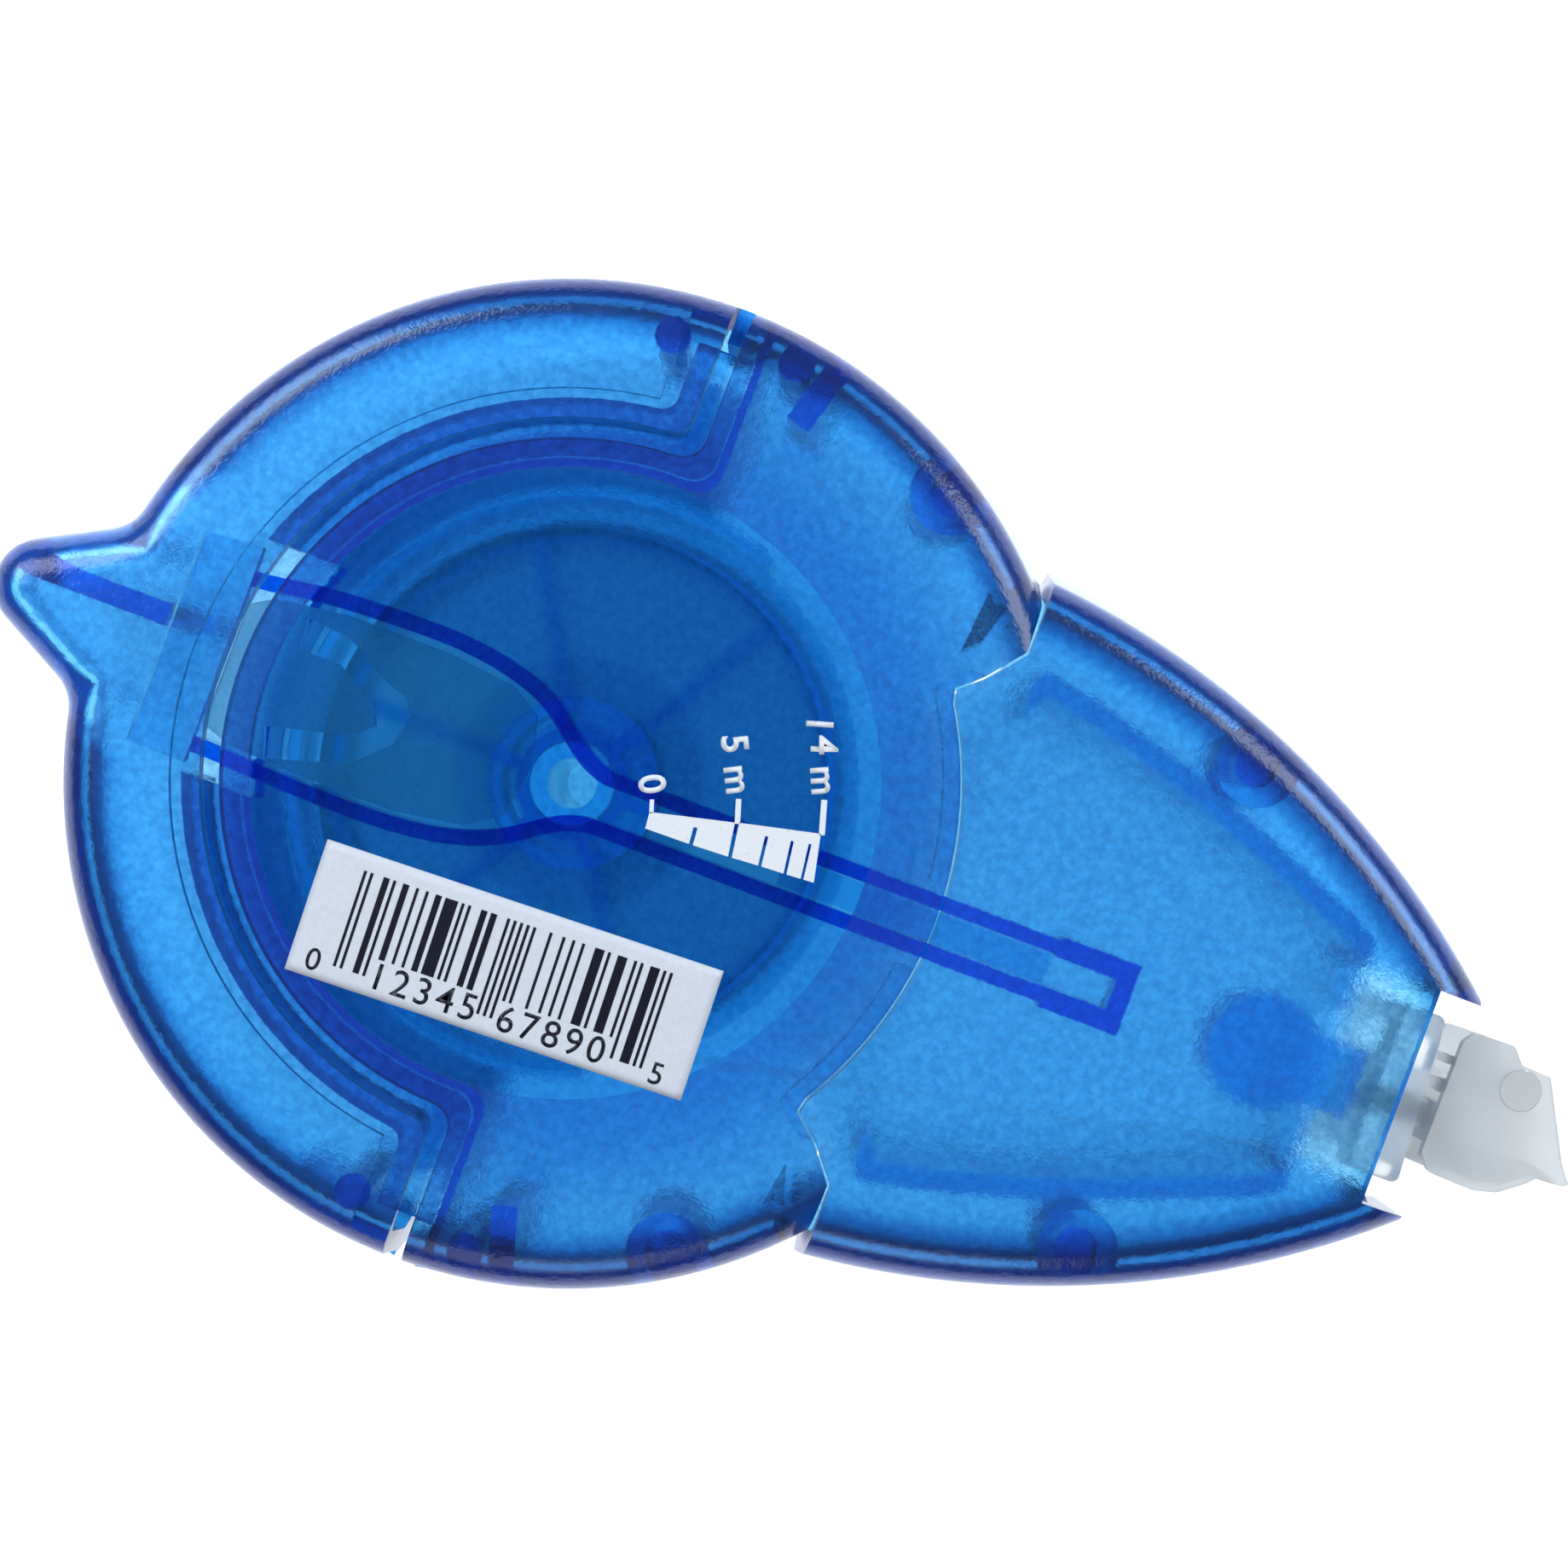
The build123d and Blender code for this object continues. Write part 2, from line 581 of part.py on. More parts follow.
with BuildPart() as head_front_plate:
    extrude(head_face(12.6).sketch, amount=0.7)
    with BuildSketch(level(12.6)) as head_hole_sk:
        with Locations((62.46, 2.77)):
            Circle(1.32)
    extrude(amount=0.7, mode=Mode.SUBTRACT)

with BuildPart() as head_back_plate:
    extrude(head_face(6.7).sketch, amount=0.7)

with BuildPart() as guide_pin:
    with BuildSketch(level(7.4)) as guide_pin_sk:
        with Locations((62.46, 2.77)):
            Circle(1.3)
    extrude(amount=5.9)

with BuildPart() as head_blade:
    with BuildSketch(level(7.4)) as blade_sk:
        with BuildLine():
            Polyline([(59.6, -1.9), (64.6, -1.3), (66.5, -1.75), (66.85, -1.95), (66.6, -2.05), (64.9, -2.12),
                      (63.6, -3.2), (61.8, -3.62), (59.6, -3.55), (59.6, -1.9)])
        make_face()
    extrude(amount=5.2)

with BuildPart() as swivel_shaft:
    with BuildSketch(Plane(origin=(AXIS_X + 53.05, AXIS_Y, 0), x_dir=(0, 1, 0), z_dir=(1, 0, 0))) as shaft_sk:
        with Locations((SHAFT_Y, MID)):
            Circle(0.95)
    extrude(amount=5.4)
    with BuildSketch(level(7.4)) as web_sk:
        with Locations((58.85, SHAFT_Y - 0.3)):
            Rectangle(1.5, 2.6)
    extrude(amount=5.2)

with BuildPart() as neck_arms:
    with BuildSketch(level(12.6 - 0.8)) as arms_sk:
        with Locations((57.6, 3.05)):
            Rectangle(2.2, 0.6)
        with Locations((57.6, 1.35)):
            Rectangle(2.2, 0.9)
    extrude(amount=0.8)

# ---------------------------------------------------------------- tape runs
Z_FEED, Z_TAKE = (ROLL_Z0 + ROLL_Z1) / 2, (TAKE_Z0 + TAKE_Z1) / 2


def tangent_point(radius, x, y, side):
    """Where the straight tape from (x, y) touches a roll of this radius."""
    d = sqrt(x * x + y * y)
    a = atan2(y, x) + side * acos(radius / d)
    return radius * cos(a), radius * sin(a)


def on_line(p, q, x):
    return p[1] + (q[1] - p[1]) * (x - p[0]) / (q[0] - p[0])


def strip_section(p, y_dir, z_mid, half):
    """Upright section of the tape at p: as wide as the tape, TAPE_T thick."""
    plane = Plane(origin=(AXIS_X + p[0], AXIS_Y + p[1], z_mid), x_dir=(-y_dir[1], y_dir[0], 0),
                  z_dir=(y_dir[0], y_dir[1], 0))
    with BuildSketch(plane) as sk:
        Rectangle(TAPE_T, 2 * half)
    return sk


def strip(builder_points, half):
    """Tape as ruled lofts between upright sections (x, y, height of the middle)."""
    x0, y0, _ = builder_points[0]
    x1, y1, _ = builder_points[-1]
    n = sqrt((x1 - x0) ** 2 + (y1 - y0) ** 2)
    return [strip_section((x, y), ((x1 - x0) / n, (y1 - y0) / n), z, half).sketch for x, y, z in builder_points]


feed_end, back_end = (57.3, -4.80), (57.2, 2.20)
feed_start = tangent_point(ROLL_R + TAPE_T / 2 + 0.03, *feed_end, -1)
back_start = tangent_point(WRAP_R + TAPE_T / 2 + 0.03, *back_end, 1)

with BuildPart() as tape_feed_run:
    pts = [(feed_start[0], feed_start[1], Z_FEED), (14.0, on_line(feed_start, feed_end, 14.0), Z_FEED),
           (55.0, on_line(feed_start, feed_end, 55.0), MID), (feed_end[0], feed_end[1], MID)]
    for face in strip(pts, 2.45):
        add(face)
    loft(ruled=True)

with BuildPart() as tape_return_run:
    pts = [(back_start[0], back_start[1], Z_TAKE), (12.0, on_line(back_start, back_end, 12.0), Z_TAKE),
           (52.0, on_line(back_start, back_end, 52.0), MID), (back_end[0], back_end[1], MID)]
    for face in strip(pts, 2.45):
        add(face)
    loft(ruled=True)

with BuildPart() as tape_tip_wrap:
    with BuildSketch(level(MID - 2.45)) as tip_wrap_sk:
        with BuildLine():
            Polyline([(57.45, -4.70), (59.2, -3.86), (61.8, -3.76), (63.5, -3.34), (64.85, -2.26),
                      (66.6, -2.20), (66.98, -1.97), (66.55, -1.62), (64.6, -1.15), (62.46, 1.22),
                      (60.4, 2.10), (57.35, 2.14)])
            Polyline([(57.35, 2.14), (57.35, 2.26), (60.45, 2.22), (62.56, 1.32), (64.68, -1.04),
                      (66.65, -1.54), (67.12, -1.96), (66.66, -2.32), (64.80, -2.38), (63.44, -3.47),
                      (61.8, -3.88), (59.2, -3.98), (57.45, -4.82), (57.45, -4.70)])
        make_face()
    extrude(amount=4.9)

# ---------------------------------------------------------------- print and label on the front face
with BuildPart() as scale_print:
    with BuildSketch(level(THICK)) as scale_sk:
        with BuildLine():
            Polyline([(5.45, 0.35), (5.46, -0.85), (16.0, -0.2), (15.6, 2.8), (5.45, 0.35)])
        make_face()
    extrude(amount=0.04)

with BuildPart() as price_label:
    with BuildSketch(level(THICK)) as label_sk:
        with BuildLine():
            Polyline([(-12.2, -8.2), (12.75, -7.2), (13.4, -15.4), (-11.75, -16.4), (-12.2, -8.2)])
        make_face()
    extrude(amount=0.08)

# ---------------------------------------------------------------- export
middle_front_shell.part.label = "middle_front_shell"
export_step(middle_front_shell.part, "parts/middle_front_shell.step")
middle_back_shell.part.label = "middle_back_shell"
export_step(middle_back_shell.part, "parts/middle_back_shell.step")
nose_front_shell.part.label = "nose_front_shell"
export_step(nose_front_shell.part, "parts/nose_front_shell.step")
nose_back_shell.part.label = "nose_back_shell"
export_step(nose_back_shell.part, "parts/nose_back_shell.step")
tail_front_shell.part.label = "tail_front_shell"
export_step(tail_front_shell.part, "parts/tail_front_shell.step")
tail_back_shell.part.label = "tail_back_shell"
export_step(tail_back_shell.part, "parts/tail_back_shell.step")
tongue_root.part.label = "tongue_root"
export_step(tongue_root.part, "parts/tongue_root.step")
guide_tongue.part.label = "guide_tongue"
export_step(guide_tongue.part, "parts/guide_tongue.step")
refill_frame.part.label = "refill_frame"
export_step(refill_frame.part, "parts/refill_frame.step")
anchor_plate.part.label = "anchor_plate"
export_step(anchor_plate.part, "parts/anchor_plate.step")
neck_plate.part.label = "neck_plate"
export_step(neck_plate.part, "parts/neck_plate.step")
spindle.part.label = "spindle"
export_step(spindle.part, "parts/spindle.step")
hub_cap.part.label = "hub_cap"
export_step(hub_cap.part, "parts/hub_cap.step")
takeup_reel.part.label = "takeup_reel"
export_step(takeup_reel.part, "parts/takeup_reel.step")
takeup_tape_wrap.part.label = "takeup_tape_wrap"
export_step(takeup_tape_wrap.part, "parts/takeup_tape_wrap.step")
clutch_ring.part.label = "clutch_ring"
export_step(clutch_ring.part, "parts/clutch_ring.step")
supply_reel.part.label = "supply_reel"
export_step(supply_reel.part, "parts/supply_reel.step")
supply_flange.part.label = "supply_flange"
export_step(supply_flange.part, "parts/supply_flange.step")
supply_tape_roll.part.label = "supply_tape_roll"
export_step(supply_tape_roll.part, "parts/supply_tape_roll.step")
head_front_plate.part.label = "head_front_plate"
export_step(head_front_plate.part, "parts/head_front_plate.step")
head_back_plate.part.label = "head_back_plate"
export_step(head_back_plate.part, "parts/head_back_plate.step")
guide_pin.part.label = "guide_pin"
export_step(guide_pin.part, "parts/guide_pin.step")
head_blade.part.label = "head_blade"
export_step(head_blade.part, "parts/head_blade.step")
swivel_shaft.part.label = "swivel_shaft"
export_step(swivel_shaft.part, "parts/swivel_shaft.step")
neck_arms.part.label = "neck_arms"
export_step(neck_arms.part, "parts/neck_arms.step")
tape_feed_run.part.label = "tape_feed_run"
export_step(tape_feed_run.part, "parts/tape_feed_run.step")
tape_return_run.part.label = "tape_return_run"
export_step(tape_return_run.part, "parts/tape_return_run.step")
tape_tip_wrap.part.label = "tape_tip_wrap"
export_step(tape_tip_wrap.part, "parts/tape_tip_wrap.step")
scale_print.part.label = "scale_print"
export_step(scale_print.part, "parts/scale_print.step")
price_label.part.label = "price_label"
export_step(price_label.part, "parts/price_label.step")
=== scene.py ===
"""Correction tape roller: finishes, printed scale, price label, light table and camera."""

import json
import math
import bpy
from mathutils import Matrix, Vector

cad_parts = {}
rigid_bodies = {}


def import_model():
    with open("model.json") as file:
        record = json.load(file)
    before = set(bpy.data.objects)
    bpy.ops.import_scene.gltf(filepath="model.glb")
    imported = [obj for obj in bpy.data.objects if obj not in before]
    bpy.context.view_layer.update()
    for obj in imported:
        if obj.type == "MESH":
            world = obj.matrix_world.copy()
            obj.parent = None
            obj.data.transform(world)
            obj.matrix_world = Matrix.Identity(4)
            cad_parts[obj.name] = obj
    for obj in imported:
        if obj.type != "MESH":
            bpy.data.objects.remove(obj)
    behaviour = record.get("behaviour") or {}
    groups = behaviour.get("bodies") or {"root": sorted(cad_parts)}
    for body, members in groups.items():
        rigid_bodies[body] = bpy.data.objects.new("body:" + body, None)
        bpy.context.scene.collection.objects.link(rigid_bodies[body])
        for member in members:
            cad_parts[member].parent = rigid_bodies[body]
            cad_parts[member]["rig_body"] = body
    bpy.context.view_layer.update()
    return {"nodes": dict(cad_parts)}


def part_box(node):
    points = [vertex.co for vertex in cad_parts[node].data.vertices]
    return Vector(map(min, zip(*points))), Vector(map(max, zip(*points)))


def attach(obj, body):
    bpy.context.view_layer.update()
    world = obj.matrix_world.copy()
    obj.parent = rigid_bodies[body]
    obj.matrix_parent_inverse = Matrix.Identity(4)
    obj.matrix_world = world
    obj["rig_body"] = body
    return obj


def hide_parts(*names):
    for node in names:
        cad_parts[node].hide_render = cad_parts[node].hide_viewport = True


bl_info = {
    "name": "Correction Tape Roller",
    "version": (1, 0, 0),
    "blender": (4, 5, 0),
    "location": "View3D > Sidebar > Roller",
    "description": "Dresses the tape roller's parts, prints its scale and lays it on a light table",
    "category": "Object",
}

import bmesh
import bpy
from mathutils import Matrix, Vector

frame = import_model()
NODES = frame["nodes"]
MM = 0.001
CLEARANCE = 0.00001       # skin taken off each part, so that touching parts don't share a face
MERGE = 1e-7              # vertices closer than this are one
PLATE_THICK = 0.0005      # thin plates of the guide tongue
CATCH_Z, WEB_Z = 0.0174, 0.0164
PRINT_LIFT, PRINT_THICK = 0.00001, 0.00004
BAR_LIFT, BAR_THICK = 0.000075, 0.00001
TABLE_Z = -0.0004         # the light table lies just under the roller


def middle_of(node):
    low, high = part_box(node)
    return (low + high) / 2


AXIS = middle_of("supply_tape_roll")          # the reels turn about this upright line
FACE_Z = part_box("middle_front_shell")[1].z    # front face of the shell


# ------------------------------------------------------------------ shader writing
class Value:
    """A socket that can be used in arithmetic; each operator adds one Math node."""

    def __init__(self, book, socket):
        self.book, self.socket = book, socket

    def _math(self, kind, a, b=None):
        ins = {0: a} if b is None else {0: a, 1: b}
        return self.book.add("ShaderNodeMath", {"operation": kind}, ins).out(0)

    def __add__(self, other):
        return self._math("ADD", self, other)

    __radd__ = __add__

    def __sub__(self, other):
        return self._math("SUBTRACT", self, other)

    def __rsub__(self, other):
        return self._math("SUBTRACT", other, self)

    def __mul__(self, other):
        return self._math("MULTIPLY", self, other)

    __rmul__ = __mul__

    def __truediv__(self, other):
        return self._math("DIVIDE", self, other)

    def __gt__(self, other):
        return self._math("GREATER_THAN", self, other)

    def __lt__(self, other):
        return self._math("LESS_THAN", self, other)

    def root(self):
        return self._math("SQRT", self)

    def size(self):
        return self._math("ABSOLUTE", self)


class Made:
    """A node that has been added; out() hands back one of its outputs."""

    def __init__(self, book, node):
        self.book, self.node = book, node

    def out(self, key):
        return Value(self.book, self.node.outputs[key])


class Book:
    """The node tree of one material."""

    def __init__(self, name):
        self.material = bpy.data.materials.new(name)
        self.material.use_nodes = True
        self.tree = self.material.node_tree
        self.tree.nodes.clear()

    def add(self, kind, settings=None, sockets=None):
        node = self.tree.nodes.new(kind)
        for key, value in (settings or {}).items():
            if key == "stops":
                ramp = node.color_ramp
                for n, (place, colour) in enumerate(value):
                    stop = ramp.elements[n] if n < 2 else ramp.elements.new(place)
                    stop.position, stop.color = place, colour
            else:
                setattr(node, key, value)
        for key, value in (sockets or {}).items():
            if isinstance(value, Value):
                self.tree.links.new(value.socket, node.inputs[key])
            else:
                node.inputs[key].default_value = value
        return Made(self, node)

    def place(self):
        """Object coordinates of the point, in metres in the row frame."""
        return self.add("ShaderNodeTexCoord").out("Object")

    def xyz(self):
        parts = self.add("ShaderNodeSeparateXYZ", None, {0: self.place()})
        return parts.out(0), parts.out(1), parts.out(2)

    def from_axis(self):
        """Distance from the reels' axis, and height."""
        x, y, z = self.xyz()
        dx, dy = x - AXIS.x, y - AXIS.y
        return (dx * dx + dy * dy).root(), z

    def noise(self, scale, detail=2.0, rough=0.5):
        return self.add("ShaderNodeTexNoise", None, {
            "Vector": self.place(), "Scale": scale, "Detail": detail, "Roughness": rough}).out("Fac")

    def spread(self, value, start, stop, low, high, kind="LINEAR"):
        """Carries the range start..stop over to low..high."""
        return self.add("ShaderNodeMapRange", {"interpolation_type": kind}, {
            0: value, 1: start, 2: stop, 3: low, 4: high}).out(0)

    def ramp(self, value, *stops):
        stops = [(at, rgba(colour)) for at, colour in stops]
        return self.add("ShaderNodeValToRGB", {"stops": stops}, {0: value}).out(0)

    def plastic(self, **sockets):
        """A Principled surface; socket names are written with _ for a space."""
        named = {key.replace("_", " "): value for key, value in sockets.items()}
        return self.add("ShaderNodeBsdfPrincipled", None, named)

    def blend(self, share, first, second):
        return self.add("ShaderNodeMixShader", None, {0: share, 1: first.out(0), 2: second.out(0)})

    def tinted(self, colour, depth):
        return self.add("ShaderNodeVolumeAbsorption", None, {"Color": rgba(colour), "Density": depth})

    def bump(self, height, strength, distance):
        return self.add("ShaderNodeBump", None,
                        {"Height": height, "Strength": strength, "Distance": distance}).out("Normal")

    def finish(self, surface, volume=None):
        out = self.add("ShaderNodeOutputMaterial")
        self.tree.links.new(surface.node.outputs[0], out.node.inputs["Surface"])
        if volume is not None:
            self.tree.links.new(volume.node.outputs[0], out.node.inputs["Volume"])
        return self.material


def rgba(colour, alpha=1.0):
    return (colour[0], colour[1], colour[2], alpha)


# ------------------------------------------------------------------ sizes and finishes
class RollerFinish(bpy.types.PropertyGroup):
    tint: bpy.props.FloatVectorProperty(
        name="Plastic tint", description="Colour that the clear plastic lets through",
        subtype="COLOR", size=3, default=(0.0, 0.72, 0.976), min=0.0, max=1.0)
    depth: bpy.props.FloatProperty(
        name="Tint depth", description="How fast the tint deepens, per metre of plastic",
        default=880.0, min=0.0)
    reel_depth: bpy.props.FloatProperty(
        name="Reel depth", description="The same for the deep blue reel flanges, per metre",
        default=1300.0, min=0.0)
    grain: bpy.props.FloatProperty(
        name="Grain size", description="Width of one grain of the moulded surface",
        default=0.00030, unit="LENGTH")
    grain_depth: bpy.props.FloatProperty(
        name="Grain depth", description="Height of the moulded grain",
        default=0.000035, unit="LENGTH")
    window: bpy.props.FloatProperty(
        name="Window radius", description="Radius of the polished round window",
        default=0.01895, unit="LENGTH")
    skin_share: bpy.props.FloatProperty(
        name="Skin tint", description="Share of the shell tint that sits in its surface",
        default=0.7, min=0.0, max=1.0)
    wall: bpy.props.FloatProperty(
        name="Wall", description="Thickness of a shell wall", default=0.0016, unit="LENGTH")
    body_radius: bpy.props.FloatProperty(
        name="Body radius", description="Radius of the round body", default=0.0325, unit="LENGTH")
    leaf_radius: bpy.props.FloatProperty(
        name="Nose radius", description="Radius of the two arcs of the nose", default=0.0595, unit="LENGTH")
    leaf_centre: bpy.props.FloatVectorProperty(
        name="Nose arc centre", description="Centre of an arc of the nose, from the reels' axis",
        size=2, default=(0.0178, 0.0360), unit="LENGTH")
    haze: bpy.props.FloatProperty(
        name="Frost", description="Share of light that the grained surface scatters",
        default=0.03, min=0.0, max=1.0)
    rail_depth: bpy.props.FloatProperty(
        name="Rail depth", description="Tint depth of the guide rails, per metre",
        default=3000.0, min=0.0)
    milk: bpy.props.FloatVectorProperty(
        name="Milky plastic", description="Colour of the tip and neck",
        subtype="COLOR", size=3, default=(0.97, 0.98, 0.99), min=0.0, max=1.0)
    film: bpy.props.FloatVectorProperty(
        name="Tape film", description="Colour of the correction film",
        subtype="COLOR", size=3, default=(0.90, 0.91, 0.92), min=0.0, max=1.0)


class RollerPrint(bpy.types.PropertyGroup):
    ink: bpy.props.FloatVectorProperty(
        name="Scale ink", description="Colour of the printed scale",
        subtype="COLOR", size=3, default=(0.92, 0.94, 1.0), min=0.0, max=1.0)
    paper: bpy.props.FloatVectorProperty(
        name="Label paper", description="Colour of the label",
        subtype="COLOR", size=3, default=(0.80, 0.83, 0.93), min=0.0, max=1.0)
    bars: bpy.props.FloatVectorProperty(
        name="Bar ink", description="Colour of the bars and digits",
        subtype="COLOR", size=3, default=(0.006, 0.006, 0.02), min=0.0, max=1.0)
    label_width: bpy.props.FloatProperty(
        name="Label width", description="Long side of the label", default=0.02505, unit="LENGTH")
    label_height: bpy.props.FloatProperty(
        name="Label height", description="Short side of the label", default=0.0082, unit="LENGTH")
    label_turn: bpy.props.FloatProperty(
        name="Label turn", description="Tilt of the label on the roller",
        default=math.radians(2.1), subtype="ANGLE")


class RollerStage(bpy.types.PropertyGroup):
    camera_height: bpy.props.FloatProperty(
        name="Camera height", description="Camera above the table", default=0.160, unit="LENGTH")
    lens: bpy.props.FloatProperty(
        name="Lens", description="Focal length in millimetres", default=53.57)
    turn: bpy.props.FloatProperty(
        name="Camera turn", description="Turn of the picture about the upright axis",
        default=math.radians(20.55), subtype="ANGLE")
    glow: bpy.props.FloatProperty(
        name="Table glow", description="Brightness of the light table", default=1.0, min=0.0)
    sky: bpy.props.FloatProperty(
        name="Room light", description="Brightness of the room", default=0.03, min=0.0)


# ------------------------------------------------------------------ materials
WHITE = (1.0, 1.0, 1.0)
# painted shade: a dark band painted along a front shell's outline, given as what the shell lets through by
# the distance inside its outline in millimetres
PAINTED_RIM_SHADE = ((0.9, WHITE), (1.5, (0.50, 0.72, 0.90)), (2.2, (0.02, 0.14, 0.34)), (3.5, (0.01, 0.07, 0.22)),
       (4.4, (0.12, 0.42, 0.62)), (5.4, (0.80, 0.92, 0.97)), (6.4, WHITE))
GRAIN_LOW = (0.55, 0.68, 0.80)                # what the darkest grain lets through
WINDOW_PAINTED_SHADE = (0.30, 0.58, 0.86)             # painted shade of the middle shell next to the window, where the reels behind it take the light: what the shell lets through there
SHADE_IN, SHADE_OUT = 0.0195, 0.0285          # radii between which that painted shade fades
WINDOW_SKIN = 0.0012                          # the window is polished this far down
POLISHED = 0.03                               # roughness of the window
TAB_Y, TAB_HALF, TAB_FADE = 0.0011, 0.0055, 0.0095    # thumb tab: no painted rim shade is drawn across its root
CLEAR_IOR, SHEEN = 1.46, 0.3


def inside_edge(book, finish, region):
    """How far a point of a shell lies inside its outline, seen from the front; this places the painted rim
    shade.
    """
    x, y, _ = book.xyz()
    x, y = x - AXIS.x, y - AXIS.y
    if region == "nose":
        sides = []
        for middle in (-finish.leaf_centre[1], finish.leaf_centre[1]):
            dx, dy = x - finish.leaf_centre[0], y - middle
            sides.append(finish.leaf_radius - (dx * dx + dy * dy).root())
        inside = book.add("ShaderNodeMath", {"operation": "MINIMUM"}, dict(enumerate(sides))).out(0)
    else:
        inside = finish.body_radius - (x * x + y * y).root()
    if region == "tail":
        away = book.spread((y - TAB_Y).size(), TAB_HALF, TAB_FADE, 0.010, 0.0, "SMOOTHSTEP")
        inside = inside + away * (x < -0.020)
    return inside


def clear_blue(name, finish, depth, grained, rough, region=None):
    """Tinted clear plastic; grained parts keep a polished round window on the front face.

    Part of the tint sits in the surface, so that tall thin walls don't turn black. A front shell has
    painted shade: a dark band painted along its outline, and on the middle shell painted shade round the
    window, where the reels behind it take the light."""
    book = Book(name)
    if not grained:
        wave = book.noise(260.0, 2.0, 0.5)
        surface = book.plastic(Base_Color=rgba(WHITE), Transmission_Weight=1.0, IOR=CLEAR_IOR,
                               Roughness=rough, Specular_IOR_Level=SHEEN,
                               Normal=book.bump(wave, 0.25, 0.00008))
        return book.finish(surface, book.tinted(finish.tint, depth))
    radius, height = book.from_axis()
    skin = 1 - (radius < finish.window) * (height > FACE_Z - WINDOW_SKIN)
    coarse = book.noise(0.55 / finish.grain, 3.0, 0.6)
    fine = book.noise(1.7 / finish.grain, 2.0, 0.5)
    face = book.spread((height - FACE_Z / 2).size(), FACE_Z * 0.34, FACE_Z * 0.46, 0.12, 1.0, "SMOOTHSTEP")
    rim = None
    # painted shade: the dark band painted along a front shell's outline, by the distance inside it
    if region:
        reach = PAINTED_RIM_SHADE[-1][0]
        stops = [(at / reach, colour) for at, colour in PAINTED_RIM_SHADE]
        rim = book.add("ShaderNodeSeparateColor", None, {
            0: book.ramp(inside_edge(book, finish, region) / (reach * MM), *stops)})
    shades = []
    for n, (low, painted_window_shade, tint) in enumerate(zip(GRAIN_LOW, WINDOW_PAINTED_SHADE, finish.tint)):
        grain = book.spread(coarse, 0.38, 0.62, low, 1.0)
        # the grain tone is darkened by the painted rim shade
        if region:
            grain = grain * rim.out(n)
        # painted shade round the window on the middle shell, fading outwards
        if region == "middle":
            grain = grain * book.spread(radius, SHADE_IN, SHADE_OUT, painted_window_shade, 1.0, "SMOOTHSTEP")
        wall = math.exp((tint - 1) * depth * finish.skin_share * finish.wall)
        shades.append((1 - skin * (1 - grain)) * wall)
    normal = book.bump((coarse + fine * 0.5) * skin * face, 1.0, finish.grain_depth)
    clear = book.plastic(
        Base_Color=book.add("ShaderNodeCombineColor", None, dict(enumerate(shades))).out(0),
        Transmission_Weight=1.0, IOR=CLEAR_IOR, Roughness=POLISHED + skin * (rough - POLISHED),
        Specular_IOR_Level=SHEEN, Normal=normal)
    frost = book.plastic(Base_Color=(0.34, 0.62, 1.0, 1), Roughness=0.55, Normal=normal)
    surface = book.blend(skin * finish.haze, clear, frost)
    return book.finish(surface, book.tinted(finish.tint, depth * (1 - finish.skin_share)))


def frosted_catch(finish):
    """Clear blue plate that is frosted at the tail end and turns clear towards the reels."""
    book = Book("frosted_catch")
    x, _, _ = book.xyz()
    grain = book.noise(1.0 / finish.grain, 2.0, 0.5)
    frosting = book.spread(x - AXIS.x, -0.021, -0.003, 0.85, 0.10, "SMOOTHSTEP")
    normal = book.bump(grain, 0.6, finish.grain_depth)
    clear = book.plastic(Base_Color=rgba(WHITE), Transmission_Weight=1.0, IOR=CLEAR_IOR, Roughness=0.05,
                         Normal=normal)
    frost = book.plastic(Base_Color=(0.70, 0.92, 1.0, 1), Transmission_Weight=0.7, IOR=1.2, Roughness=0.8,
                         Normal=normal)
    surface = book.blend(frosting * (0.8 + grain * 0.4), clear, frost)
    return book.finish(surface, book.tinted(finish.tint, finish.depth * 0.9))


def milky(name, finish, clear, rough):
    """Cloudy white plastic with faint swirls of flow."""
    book = Book(name)
    swirl = book.noise(420.0, 3.0, 0.55)
    tone = book.ramp(swirl, (0.3, [c * 0.95 for c in finish.milk]), (0.7, finish.milk))
    normal = book.bump(book.noise(3200.0, 2.0, 0.5), 0.35, 0.00002)
    return book.finish(book.plastic(Base_Color=tone, Roughness=rough, IOR=1.45, Transmission_Weight=clear,
                                    Normal=normal))


def coated_film(name, finish, wound):
    """White correction film: a wound roll shows fine turns, a single run lets most light through."""
    book = Book(name)
    if wound:
        radius, _ = book.from_axis()
        turns = book.add("ShaderNodeTexNoise", {"noise_dimensions": "1D"}, {
            "W": radius, "Scale": 9000.0, "Detail": 2.0}).out("Fac")
        body = {"Roughness": 0.5, "Transmission_Weight": 0.94, "IOR": 1.10, "Alpha": 1.0}
    else:
        turns = book.noise(900.0, 2.0)
        body = {"Roughness": 0.4, "Transmission_Weight": 0.9, "IOR": 1.04, "Alpha": 0.16}
    tone = book.ramp(turns, (0.3, [c * 0.90 for c in finish.film]), (0.7, finish.film))
    return book.finish(book.plastic(Base_Color=tone, Normal=book.bump(turns, 0.3, 0.00002), **body))


def ink(name, colour, gaps, rough):
    """Flat print with tiny pinholes and uneven cover."""
    book = Book(name)
    speck = book.noise(5200.0, 3.0, 0.6)
    tone = book.ramp(speck, (0.28, [c * (1 - gaps) for c in colour]), (0.36, colour))
    normal = book.bump(speck, 0.3, 0.00001)
    return book.finish(book.plastic(Base_Color=tone, Roughness=rough, Normal=normal))


def paper(colour):
    """Label stock with short fibres."""
    book = Book("label_paper")
    fibre = book.noise(2600.0, 3.0, 0.6)
    tone = book.ramp(fibre, (0.3, [c * 0.94 for c in colour]), (0.65, colour))
    normal = book.bump(fibre, 0.35, 0.00002)
    return book.finish(book.plastic(Base_Color=tone, Roughness=0.42, Normal=normal))


